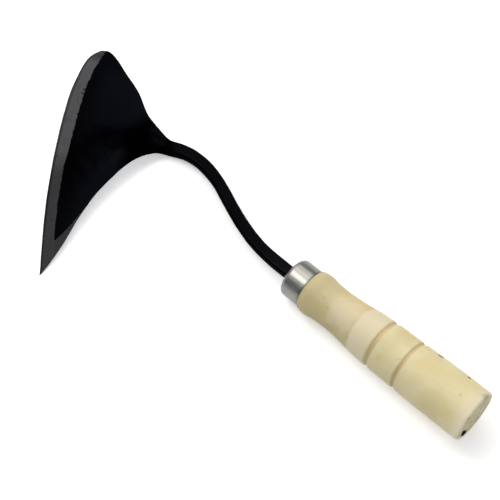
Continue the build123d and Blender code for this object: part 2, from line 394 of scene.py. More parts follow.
def rounded_section(width, thickness, rounding, flat_points, side_points):
    """Round-cornered rectangle as (fraction across, height) pairs in order round the section."""
    r = min(rounding, MOST_ROUNDING * thickness, MOST_ROUNDING * width)
    corner = [math.radians(a) for a in (0, 22.5, 45, 67.5, 90)]
    top = [(r - r * math.cos(a), thickness / 2 - r + r * math.sin(a)) for a in corner]
    steps = range(1, flat_points + 1)
    flat = [(r + (width - 2 * r) * i / (flat_points + 1), thickness / 2) for i in steps]
    upper_half = top + flat + [(width - x, y) for x, y in reversed(top)]
    steps = range(1, side_points + 1)
    side = [(width, (thickness / 2 - r) * (1 - 2 * i / (side_points + 1))) for i in steps]
    lower_half = [(width - x, -y) for x, y in upper_half]
    other_side = [(0.0, -y) for _, y in side]
    return [(x / width, y) for x, y in upper_half + side + lower_half + other_side]


FLAT_POINTS, SIDE_POINTS = 120, 3
MOST_ROUNDING = 0.48  # largest corner radius, as a share of the section
PAINTED = -20.0  # value of the grind field far from any ground surface


def bar_ring(centre, across, up, width, thickness, rounding):
    section = rounded_section(width, thickness, rounding, FLAT_POINTS, SIDE_POINTS)
    return np.array([centre + across * (x - 0.5) * width + up * y for x, y in section])


def tang_and_neck_rings():
    """Rounded squares along the straight tang and the bent neck."""
    rings = []
    x_axis, y_axis, z_axis = np.eye(3)
    for x in np.linspace(TANG_END, CAP_INSIDE + 0.4, TANG_RINGS):
        size = TANG_FRONT + (TANG_REAR - TANG_FRONT) * (x - CAP_INSIDE) / (TANG_END - CAP_INSIDE)
        rings.append(bar_ring(x * x_axis, y_axis, z_axis, size, size, size / 6))
    root_line = np.array(UPPER_EDGE[0]) - np.array(LOWER_EDGE[0])
    root_width = float(np.linalg.norm(root_line))
    root_across = (BLADE_OUT * root_line[0] + BLADE_ALONG * root_line[1]) / root_width
    run_in = np.cross(BLADE_NORMAL, root_across)
    bends = [(MOUTH - reach, y, 0) for reach, y in NECK_BENDS]
    line = Curve([(CAP_INSIDE, 0, 0), *bends, NECK_END], start=(-1, 0, 0), end=run_in)
    for place in np.linspace(0, 1, NECK_RINGS)[:-1]:
        forward = line.direction(place)
        blend = float(np.clip((place - TURN_START) / (1 - TURN_START), 0, 1)) ** 2
        up = z_axis * (1 - blend) + BLADE_NORMAL * blend
        across = np.cross(up, forward)
        across *= -1 / np.linalg.norm(across)
        up = np.cross(forward, across)
        up *= np.sign(up[2])
        width = BAR + (root_width - BAR) * blend
        rounding = BAR_ROUNDING + (ROOT_ROUNDING - BAR_ROUNDING) * blend
        rings.append(bar_ring(line.at(place), across, up, width, BAR, rounding))
    return rings


def blade_ring(out_of, thickness, sink, rounding):
    """Ring across the blade: its points and, for each, what grind_field reads."""
    middle = out_of(0.5)
    width = float(np.linalg.norm(blade_place(middle, 1.0) - blade_place(middle, 0.0)))
    points, places = [], []
    for turn, height in rounded_section(width, thickness, rounding, FLAT_POINTS, SIDE_POINTS):
        out = out_of(turn)
        across, along = blade_place(out, turn)
        lift = height - sink - trough(out, turn)
        points.append(NECK_END + BLADE_OUT * across + BLADE_ALONG * along + BLADE_NORMAL * lift)
        places.append((out, turn, along, turn * width, height > 0))
    return np.array(points), places


def grind_field(out, turn, along, from_lower_edge, hollow_side):
    """Millimetres past the border of the ground steel; negative on the lacquer."""
    length = fan_length(turn)
    if not hollow_side:
        return (out - 1) * length - 0.5
    bevel = (out - bevel_start(turn)) * length
    point_band = (POINT_BAND_START - along) * POINT_BAND_SLOPE - from_lower_edge
    return max(bevel, point_band)


def neck_shine_with_painted_light(rings):
    """Shine of the lacquer on tang and neck, with painted shade towards the blade and on the lower
    side, and painted sheen far from the blade.
    """
    centres = np.array(rings).mean(axis=1)
    to_blade = np.linalg.norm(centres - NECK_END, axis=1)
    shine = NECK_GLOSS * smooth_step(to_blade, *ROOT_PAINTED_SHADE_ON_NECK)
    shine *= 1 + NECK_PAINTED_SHEEN_GAIN * smooth_step(to_blade, *NECK_PAINTED_SHEEN)
    section = rounded_section(BAR, BAR, BAR_ROUNDING, FLAT_POINTS, SIDE_POINTS)
    fades = [FADE_ABOVE if y > 0 else FADE_BELOW for _, y in section]
    painted_shade_below = [1 - smooth_step(x, *fade) for (x, _), fade in zip(section, fades)]
    share = 1 - (1 - UNDERSIDE_SHINE_IN_PAINTED_SHADE) * np.array(painted_shade_below)
    return np.outer(shine, share).ravel().tolist()


def blade_shine_with_painted_light(out, turn):
    """Shine of the lacquer on the blade: painted shade at the root, along the bottom of the hollow,
    on the lower side and towards the bevel, and painted sheen on the root's upper side.
    """
    valley = float(np.interp(out, *zip(*VALLEY)))
    valley_painted_shade = VALLEY_PAINTED_SHADE * math.exp(-(((turn - valley) / VALLEY_PAINTED_SHADE_WIDTH) ** 2))
    # painted sheen on the root's upper side
    painted_root_sheen = ROOT_PAINTED_SHEEN * smooth_step(turn, *ROOT_PAINTED_SHEEN_TURN)
    painted_root_sheen *= 1 - smooth_step(out, *ROOT_PAINTED_SHEEN_OUT)
    further = ROOT_PAINTED_SHADE_TONGUE * math.exp(-(((turn - TONGUE_TURN) / TONGUE_WIDTH) ** 2))
    clear = smooth_step(out - further, *ROOT_PAINTED_SHADE_ON_BLADE)
    shine = float(max(painted_root_sheen, clear)) * (1 - valley_painted_shade)
    shine *= 1 - LOWER_PAINTED_SHADE * (1 - float(smooth_step(turn, *LOWER_TURN)))
    return shine * (1 - EDGE_PAINTED_SHADE * float(smooth_step(out, *EDGE_OUT)))


def blade_stages():
    """Blade rings from root to edge: place out for a turn, thickness, sink and rounding."""
    root = np.linspace(0, 0.1, 14)[:-1]
    face = np.linspace(0.1, 0.985, 95)
    stages = []
    for step in np.concatenate([root, face, [0.995, 1.0]]):
        thickness = BLADE_THICKNESS + (ROOT_THICKNESS - BLADE_THICKNESS) * (1 - 0.9 * step) ** 4
        to_plate = float(smooth_step(step, 0, 0.25))
        rounding = ROOT_ROUNDING + (PLATE_ROUNDING - ROOT_ROUNDING) * to_plate
        stages.append((lambda turn, s=step: s * bevel_start(turn), thickness, 0.0, rounding))
    for step in (0.02, 0.08, 0.18, 0.3, 0.42, 0.54, 0.66, 0.78, 0.9, 0.97, 1.0):
        thickness = BLADE_THICKNESS + (EDGE_THICKNESS - BLADE_THICKNESS) * step
        sink = (BLADE_THICKNESS - thickness) / 2
        stages.append(
            (lambda turn, s=step: bevel_start(turn) * (1 - s) + s, thickness, sink, PLATE_ROUNDING)
        )
    return stages


def build_head():
    """Tang, neck and blade as one skin: bar rings that fan out into blade rings."""
    rings = tang_and_neck_rings()
    grind = [PAINTED] * sum(len(ring) for ring in rings)
    edge_place = [0.0] * len(grind)
    from_edge = [-PAINTED] * len(grind)
    # shine of the lacquer with painted shade and painted sheen, read by the material
    shine_with_painted_light = neck_shine_with_painted_light(rings)
    for stage in blade_stages():
        ring, places = blade_ring(*stage)
        rings.append(ring)
        grind += [grind_field(*place) for place in places]
        edge_place += [place[1] * CUTTING.length for place in places]
        from_edge += [(1 - place[0]) * fan_length(place[1]) for place in places]
        shine_with_painted_light += [blade_shine_with_painted_light(place[0], place[1]) for place in places]
    rings = blend_joint(rings)
    piece = ring_mesh("forged_head_visual", rings, end_cap=edge_land(len(rings), len(rings[0])))
    add_field(piece, "grind", grind)
    add_field(piece, "edge_place", edge_place)
    add_field(piece, "from_edge", from_edge)
    add_field(piece, "shine_with_painted_light", shine_with_painted_light)
    hammer(piece, np.array(grind))
    sharpen(piece, 50)
    return piece


def blend_joint(rings):
    """Hammered-out joint: rings close to the blade's root are averaged with their neighbours."""
    grid = np.array(rings)
    centres = grid.mean(axis=1)
    travel = np.concatenate([[0], np.cumsum(np.linalg.norm(np.diff(centres, axis=0), axis=1))])
    at_joint = travel[np.argmin(np.linalg.norm(centres - NECK_END, axis=1))]
    spacing = np.gradient(travel)
    blended = grid.copy()
    for i, place in enumerate(travel):
        reach = JOINT_BLEND * (1 - abs(place - at_joint) / JOINT_REACH)
        if reach <= 0.1:
            continue
        weights = np.exp(-(((travel - place) / reach) ** 2)) * spacing
        blended[i] = np.tensordot(weights / weights.sum(), grid, axes=1)
    return list(blended)


def edge_land(count, size):
    """Faces that close the last ring along the cutting edge."""
    first = (count - 1) * size
    half = size // 2
    top = half - SIDE_POINTS
    faces = []
    for i in range(top - 1):
        j = half + top - 1 - i
        faces.append((first + i, first + i + 1, first + j - 1, first + j))
    faces.append(tuple(first + i for i in range(top - 1, half + 1)))
    faces.append(tuple(first + i % size for i in range(half + top - 1, size + 1)))
    return faces


def hammer(piece, grind):
    """Forging unevenness along the normals, held back on the ground steel and on the tang."""
    mesh = piece.data
    points = vertex_array(mesh) / MM
    normals = np.array([n.vector for n in mesh.vertex_normals])
    lift = np.zeros(len(points))
    for i, p in enumerate(points):
        if p[0] > MOUTH - 1:
            continue
        dents = sum(depth * rough(p, size, seed) for depth, size, seed in HAMMER_DENTS)
        lift[i] = dents * (DENTS_ON_GROUND if grind[i] > GROUND_START else 1.0)
    points += normals * lift[:, None]
    mesh.vertices.foreach_set("co", (points * MM).ravel())
    mesh.update()


# ---------------------------------------- ferrule


def turned_rings(profile, segments, wobble):
    """Rings about the X axis from (x, radius) pairs; wobble(x, radius, angle) moves the pair."""
    rings = []
    for x, radius in profile:
        ring = []
        for k in range(segments):
            angle = 2 * math.pi * k / segments
            dx, dr = wobble(x, radius, angle)
            r = radius + dr
            ring.append((x + dx, r * math.cos(angle), r * math.sin(angle)))
        rings.append(np.array(ring))
    return rings


def arc(centre_x, centre_r, radius, start, end, count):
    """Points of a profile's rounding, angles in degrees from +x towards larger radii."""
    angles = np.radians(np.linspace(start, end, count))
    return [(centre_x + radius * math.cos(a), centre_r + radius * math.sin(a)) for a in angles]


def build_ferrule():
    """Drawn cap: rounded front rim, thin walls, a round hole with a lip, a rounded rear rim."""
    rounding, rear, lip = FERRULE_ROUNDING, FERRULE_REAR_ROUNDING, OPENING_LIP
    wall, outer, inner = FERRULE_WALL, FERRULE_RADIUS, FERRULE_RADIUS - FERRULE_WALL
    profile = []
    profile += arc(MOUTH + rounding, outer - rounding, rounding, 180, 90, 14)
    profile += [(x, outer) for x in np.linspace(MOUTH + rounding + 0.8, FERRULE_REAR - 1.0, 14)]
    profile += arc(FERRULE_REAR - rear, outer - rear, rear, 90, 0, 6)
    profile += [(FERRULE_REAR, inner + 0.05), (FERRULE_REAR - 0.2, inner + 0.02)]
    profile += [(x, inner + 0.02) for x in np.linspace(FERRULE_REAR - 2, MOUTH + rounding + 1, 6)]
    profile += arc(MOUTH + rounding, inner + 0.02 - rounding + wall, rounding - wall, 90, 180, 8)
    profile += [(CAP_INSIDE, r) for r in np.linspace(inner - rounding, OPENING_RADIUS + lip, 4)]
    profile += arc(MOUTH + wall - lip, OPENING_RADIUS + lip, lip, -30, -90, 3)
    profile += arc(MOUTH + lip, OPENING_RADIUS + lip, lip, -90, -180, 4)
    profile += [(MOUTH, r) for r in np.linspace(OPENING_RADIUS + 1, outer - rounding - 0.6, 4)]

    def dents(x, radius, angle):
        p = (x, radius * math.cos(angle), radius * math.sin(angle))
        return 0.02 * rough(p, 6, 2.0), 0.05 * rough(p, 9, 5.0)

    rings = turned_rings(profile, FERRULE_SEGMENTS, dents)
    piece = ring_mesh("ferrule_visual", rings, loop=True)
    sharpen(piece, 60)
    return piece


# ---------------------------------------- handle


def groove_drop(x, groove):
    """Depth of a round-bottomed groove, with a softened lip on both sides."""
    start, end = groove
    middle, half = (start + end) / 2, (end - start) / 2
    t = abs(x - middle) / half
    if t >= 1.25:
        return 0.0
    return GROOVE_DEPTH * (1 - smooth_step(t, 0.35, 1.12))


def spigot_profile():
    """Wood inside the ferrule, from the end of the tang's bore to the ferrule's rear edge."""
    spigot = FERRULE_RADIUS - FERRULE_WALL - SPIGOT_GAP
    front, front_round = CAP_INSIDE + CAP_GAP, FERRULE_ROUNDING - FERRULE_WALL
    widening = (BORE_FRONT - BORE_END) / (TANG_END - CAP_INSIDE)
    bore = np.linspace(TANG_END + 0.5, CAP_INSIDE + 0.6, 12)
    profile = [(x, BORE_END + widening * (TANG_END - x)) for x in bore]
    profile += [(front, BORE_MOUTH)]
    profile += [(front, r) for r in np.linspace(FRONT_FACE, spigot - front_round, 4)]
    profile += arc(front + front_round, spigot - front_round, front_round, 168, 90, 6)
    profile += [(x, spigot) for x in np.linspace(CAP_INSIDE + 4, FERRULE_REAR - 0.35, 8)]
    return profile + [(FERRULE_REAR - 0.1, spigot + 0.02)]


def grip_profile():
    """Wood behind the ferrule: shoulder, waist, two grooves, and the butt to its middle."""
    body = [*WAIST, *GRIP_BODY, (FERRULE_BACK_TO_STRAIGHT, BUTT_RADIUS)]
    along, radii = Curve(body, end=(1, 0)).points.T
    rim = BUTT_ROUNDING
    profile = arc(FERRULE_REAR + 0.65, WAIST[0][1] - 0.25, 0.55, 200, 100, 5)
    for x in np.arange(FERRULE_REAR + 0.9, BUTT - rim - 0.2, GRIP_STEP):
        behind = x - FERRULE_REAR
        drop = groove_drop(behind, FRONT_GROOVE) + groove_drop(behind, REAR_GROOVE)
        profile.append((x, float(np.interp(behind, along, radii)) - drop))
    profile += arc(BUTT - rim, BUTT_RADIUS - rim, rim, 90, 0, 12)
    return profile + [(BUTT, r) for r in np.arange(BUTT_RADIUS - rim - FACE_STEP, 0.4, -FACE_STEP)]


def build_handle():
    """Turned grip with a butt that is sawn a little out of square."""
    profile = spigot_profile() + grip_profile()
    far_side = -CAMERA_SIDE

    def shape(x, radius, angle):
        y, z = radius * math.cos(angle), radius * math.sin(angle)
        if x < FERRULE_REAR + 0.2:
            return 0.0, 0.0
        slant = SAW_SLANT * (BUTT_RADIUS + far_side[1] * y + far_side[2] * z)
        dx = -slant * float(smooth_step(x, BUTT - SAW_REACH[0], BUTT - SAW_REACH[1]))
        dr = 0.10 * rough((x / 2.5, y, z), 9, 1.0) + 0.03 * rough((x * 2.2, y / 4, z / 4), 3, 4.0)
        if x > BUTT - 0.05:
            dx += 0.16 * rough((0, y, z), 3.2, 2.0)
            dx += 0.08 * rough((0, y * 3, z * 0.6), 1.8, 6.0) - 0.1
            dr = 0.0
        if x > BUTT - BUTT_ROUNDING:
            dx -= KNOT_DEPTH * knot_share(y, z)
        return dx, dr * min(1.0, radius / BUTT_RADIUS)

    piece = ring_mesh("handle_visual", turned_rings(profile, GRIP_SEGMENTS, shape))
    flat = BUTT_RADIUS - BUTT_ROUNDING
    onto_face = [flat - r if x > BUTT - 0.05 else x - (BUTT - 0.5) for x, r in profile]
    add_field(piece, "onto_face", np.repeat(onto_face, GRIP_SEGMENTS))
    points = vertex_array(piece.data) / MM
    knot = [knot_share(y, z) if x > BUTT - 6 else 0.0 for x, y, z in points]
    add_field(piece, "knot", knot)
    sharpen(piece, 55)
    return piece


def knot_share(y, z):
    """How deep a place of the butt is in the knot: 1 in its middle, 0 outside."""
    up = y * CAMERA_SIDE[1] + z * CAMERA_SIDE[2] - KNOT[0]
    down = y * DOWN_SIDE[1] + z * DOWN_SIDE[2] - KNOT[1]
    away = math.hypot(up / KNOT_REACH[0], down / KNOT_REACH[1])
    away += 0.35 * rough((0, y, z), 1.3, 5.0)
    return 1 - float(smooth_step(away, 0.6, 1.0))


# ---------------------------------------- camera


def aim(azimuth, elevation, roll):
    """Camera axes as rows: right, up and back, in the row frame."""
    a, e, r = (math.radians(v) for v in (azimuth, elevation, roll))
    back = np.array([math.sin(a) * math.cos(e), -math.cos(a) * math.cos(e), math.sin(e)])
    level = np.array([math.cos(a), math.sin(a), 0.0])
    rise = np.cross(back, level)
    right = level * math.cos(r) - rise * math.sin(r)
    return np.array([right, np.cross(back, right), back])


AXES = aim(CAMERA_AZIMUTH, CAMERA_ELEVATION, CAMERA_ROLL)
CAMERA_SIDE = np.array([0.0, AXES[2][1], AXES[2][2]])
CAMERA_SIDE /= np.linalg.norm(CAMERA_SIDE)
DOWN_SIDE = np.cross(CAMERA_SIDE, [1.0, 0.0, 0.0])
DOWN_SIDE *= -np.sign(DOWN_SIDE @ AXES[1])


def spot_from_mouth(right, up, back):
    """Point in metres, from millimetres off the ferrule's mouth along the camera's axes."""
    mouth = np.array([MOUTH, 0.0, 0.0]) * MM
    return mouth + (AXES[0] * right + AXES[1] * up + AXES[2] * back) * MM


def build_camera():
    data = bpy.data.cameras.new("camera")
    data.sensor_width = SENSOR
    data.lens = SENSOR * CAMERA_DISTANCE / FRAME_WIDTH
    data.clip_start, data.clip_end = NEAR_CLIP, FAR_CLIP
    camera = bpy.data.objects.new("camera", data)
    spot = spot_from_mouth(-MOUTH_RIGHT, -MOUTH_UP, CAMERA_DISTANCE)
    turn = Matrix([list(AXES[0]), list(AXES[1]), list(AXES[2])]).transposed().to_4x4()
    camera.matrix_world = Matrix.Translation(spot) @ turn
    bpy.context.scene.collection.objects.link(camera)
    bpy.context.scene.camera = camera


def softbox(name, place, size, power, tint):
    """Square lamp that faces the tool, placed in the camera's axes, millimetres."""
    data = bpy.data.lights.new(name, "AREA")
    data.shape, data.size, data.energy, data.color = "SQUARE", size * MM, power, tint
    lamp = bpy.data.objects.new(name, data)
    spot = Vector(spot_from_mouth(*place))
    aim_at = Vector((MOUTH * MM, 0, 0))
    turn = (spot - aim_at).to_track_quat("Z", "Y").to_matrix().to_4x4()
    lamp.matrix_world = Matrix.Translation(spot) @ turn
    bpy.context.scene.collection.objects.link(lamp)


# ---------------------------------------- materials


class Nodes:
    """Small wrapper that builds a node tree line by line."""

    def __init__(self, tree):
        self.tree = tree

    def node(self, kind, **settings):
        made = self.tree.nodes.new(kind)
        for key, value in settings.items():
            setattr(made, key, value)
        return made

    def put(self, socket, value):
        if isinstance(value, bpy.types.NodeSocket):
            self.tree.links.new(value, socket)
        else:
            socket.default_value = value

    def fill(self, made, **sockets):
        """Values for sockets by name, with _ for a space."""
        for name, value in sockets.items():
            self.put(made.inputs[name.replace("_", " ")], value)

    def axes(self, vector):
        """The X, Y and Z of a vector."""
        split = self.node("ShaderNodeSeparateXYZ")
        self.put(split.inputs[0], vector)
        return split.outputs

    def vector(self, operation, a, b=None, scale=None):
        made = self.node("ShaderNodeVectorMath", operation=operation)
        self.put(made.inputs[0], a)
        if b is not None:
            self.put(made.inputs[1], b)
        if scale is not None:
            self.put(made.inputs["Scale"], scale)
        scalar = operation in ("LENGTH", "DISTANCE", "DOT_PRODUCT")
        return made.outputs["Value" if scalar else "Vector"]

    def math(self, operation, a, b=0.0):
        made = self.node("ShaderNodeMath", operation=operation)
        self.put(made.inputs[0], a)
        self.put(made.inputs[1], b)
        return made.outputs[0]

    def field(self, name):
        return self.node("ShaderNodeAttribute", attribute_name=name).outputs["Fac"]

    def noise(self, vector, scale, detail=2.0, roughness=0.5, stretch=None):
        """Noise between 0 and 1; scale is in grains per millimetre."""
        if stretch:
            vector = self.vector("MULTIPLY", vector, stretch)
        made = self.node("ShaderNodeTexNoise")
        self.fill(made, Vector=vector, Scale=scale, Detail=detail, Roughness=roughness)
        return made.outputs["Fac"]

    def spread(self, value, low, high, to_low=0.0, to_high=1.0, smooth=True):
        kind = "SMOOTHSTEP" if smooth else "LINEAR"
        made = self.node("ShaderNodeMapRange", interpolation_type=kind)
        for socket, number in zip(made.inputs[:5], (value, low, high, to_low, to_high)):
            self.put(socket, number)
        return made.outputs[0]

    def mix(self, factor, a, b, blend="MIX"):
        made = self.node("ShaderNodeMix", data_type="RGBA", blend_type=blend)
        self.fill(made, Factor=factor, A=self.colour(a), B=self.colour(b))
        return made.outputs["Result"]

    def colour(self, value):
        if isinstance(value, (tuple, list)) and len(value) == 3:
            return (*value, 1.0)
        return value

    def blend(self, factor, a, b):
        made = self.node("ShaderNodeMix", data_type="FLOAT")
        self.fill(made, Factor=factor, A=a, B=b)
        return made.outputs["Result"]

    def bump(self, height, depth, below=None):
        """Bump of a 0 to 1 height, depth in millimetres."""
        made = self.node("ShaderNodeBump")
        self.fill(made, Height=height, Distance=depth * MM)
        if below is not None:
            self.fill(made, Normal=below)
        return made.outputs["Normal"]


class Surface(Nodes):
    """Material of one piece; place is a point of the piece in millimetres."""

    def __init__(self, name):
        self.material = bpy.data.materials.new(name)
        self.material.use_nodes = True
        super().__init__(self.material.node_tree)
        self.surface = self.tree.nodes["Principled BSDF"]
        metres = self.node("ShaderNodeTexCoord").outputs["Object"]
        self.place = self.vector("SCALE", metres, scale=1000.0)

    def noise_vector(self, scale, reach):
        """Noise that shifts a place by up to about reach millimetres."""
        made = self.node("ShaderNodeTexNoise")
        self.fill(made, Vector=self.place, Scale=scale)
        centred = self.vector("SUBTRACT", made.outputs["Color"], (0.5, 0.5, 0.5))
        return self.vector("SCALE", centred, scale=2 * reach)

    def finish(self, colour, roughness, metallic=0.0, normal=None, specular=0.5, tint=WHITE):
        base, tint = self.colour(colour), self.colour(tint)
        self.fill(self.surface, Base_Color=base, Roughness=roughness, Metallic=metallic)
        self.fill(self.surface, Specular_IOR_Level=specular, Specular_Tint=tint)
        if normal is not None:
            self.fill(self.surface, Normal=normal)
        return self.material


def lacquer_and_ground_steel():
    """Thin black lacquer over forged steel, and the band that was ground bare."""
    s = Surface("black_lacquer_and_ground_steel")
    ragged = s.noise(s.place, 0.8, 3, 0.55)
    ragged = s.spread(ragged, 0.25, 0.75, -0.45, 0.45, False)
    past_border = s.math("ADD", s.field("grind"), ragged)
    ground = s.spread(past_border, -0.15, 0.15)

    broad = s.noise(s.place, 0.045, 2)
    pebble = s.noise(s.place, 0.45, 3, 0.6)
    skin = s.noise(s.place, 2.0, 2)
    black = s.mix(broad, LACQUER_DEEP, LACQUER_LIGHT)
    # the shine field holds painted shade and painted sheen; where painted shade takes the shine
    # away, the lacquer turns rough
    out_of_painted_shade = s.spread(s.field("shine_with_painted_light"), 0.0, 0.12)
    black_roughness = s.spread(pebble, 0.3, 0.7, *LACQUER_ROUGHNESS)
    black_roughness = s.blend(out_of_painted_shade, PAINTED_SHADE_ROUGHNESS, black_roughness)
    black_shine = s.spread(broad, 0.3, 0.7, *LACQUER_SHINE)
    black_shine = s.math("MULTIPLY", black_shine, s.field("shine_with_painted_light"))

    across_edge = s.node("ShaderNodeCombineXYZ")
    s.fill(across_edge, X=s.field("edge_place"), Y=s.field("grind"))
    streaks = s.noise(across_edge.outputs[0], 1.0, 4, 0.65, (2.2, 0.12, 1.0))
    blotch = s.noise(s.place, 0.12, 3, 0.55)
    grey = s.mix(streaks, GROUND_DEEP, GROUND_LIGHT)
    grey = s.mix(s.spread(blotch, 0.5, 0.75, 0.0, 0.5), grey, GROUND_BLOTCH)
    to_point_tone = s.spread(s.field("edge_place"), *DARKER_TO_POINT, TO_POINT_TONE, 1.0)
    at_lobe_tone = s.spread(s.field("edge_place"), *DARKER_AT_LOBE, 1.0, AT_LOBE_TONE)
    grey = s.mix(1.0, grey, s.math("MULTIPLY", to_point_tone, at_lobe_tone), "MULTIPLY")
    pits = s.spread(s.noise(s.place, 0.55, 1, 0.5), 0.735, 0.765)
    for along, past, size in PITS:
        away = s.vector("DISTANCE", across_edge.outputs[0], (along, past, 0.0))
        pits = s.math("MAXIMUM", pits, s.spread(away, size * 0.5, size, 1.0, 0.0))
    grey = s.mix(pits, grey, PIT_DARK)
    rim = s.spread(s.field("from_edge"), *EDGE_RIM, 1.0, 0.0)
    rim = s.math("MULTIPLY", rim, s.spread(s.field("edge_place"), *EDGE_RIM_FADE))
    grey = s.mix(rim, grey, EDGE_DARK)
    grey_roughness = s.spread(streaks, 0.3, 0.7, *GROUND_ROUGHNESS)

    lacquer_relief = s.bump(skin, 0.012, s.bump(pebble, 0.06))
    ground_relief = s.bump(pits, -0.08, s.bump(streaks, 0.03))
    normal = s.node("ShaderNodeMix", data_type="VECTOR")
    s.fill(normal, Factor=ground, A=lacquer_relief, B=ground_relief)
    return s.finish(
        s.mix(ground, black, grey),
        s.blend(ground, black_roughness, grey_roughness),
        s.blend(ground, 0.0, GROUND_METALLIC),
        next(o for o in normal.outputs if o.type == "VECTOR"),
        s.blend(ground, black_shine, STEEL_SHINE),
        s.mix(ground, LACQUER_TINT, WHITE),
    )


def drawn_steel():
    """Brushed ferrule steel with fine draw lines, faint tarnish and painted shade on the rear rim.
    """
    s = Surface("drawn_steel")
    draw_lines = s.noise(s.place, 1.0, 4, 0.6, (0.07, 2.2, 2.2))
    turning = s.noise(s.place, 1.0, 2, 0.5, (5.0, 0.06, 0.06))
    tarnish = s.noise(s.place, 0.30, 4, 0.6)
    steel = s.mix(s.spread(draw_lines, 0.3, 0.7), DRAWN_DEEP, DRAWN_LIGHT)
    steel = s.mix(s.spread(tarnish, 0.5, 0.8, 0.0, 0.45), steel, TARNISH)
    # painted shade along the rear rim next to the wood
    rim = (FERRULE_REAR - REAR_RIM_START, FERRULE_REAR - REAR_RIM_END)
    rear_rim_painted_shade = s.spread(s.axes(s.place)["X"], *rim, 0.0, REAR_RIM_SHARE)
    steel = s.mix(rear_rim_painted_shade, steel, REAR_RIM_PAINTED_SHADE)
    roughness = s.spread(draw_lines, 0.3, 0.7, *DRAWN_ROUGHNESS)
    normal = s.bump(turning, 0.008, s.bump(draw_lines, 0.012))
    return s.finish(steel, roughness, 1.0, normal)


def grip_place(behind, across):
    """Point of the grip's surface: distance behind the ferrule, and place across it (-1 to 1)."""
    near = math.sqrt(max(0.0, 1 - across * across))
    radius = 13.0 if behind < 40 else 16.0
    spot = (CAMERA_SIDE * near + DOWN_SIDE * across) * radius
    return FERRULE_REAR + behind, float(spot[1]), float(spot[2])


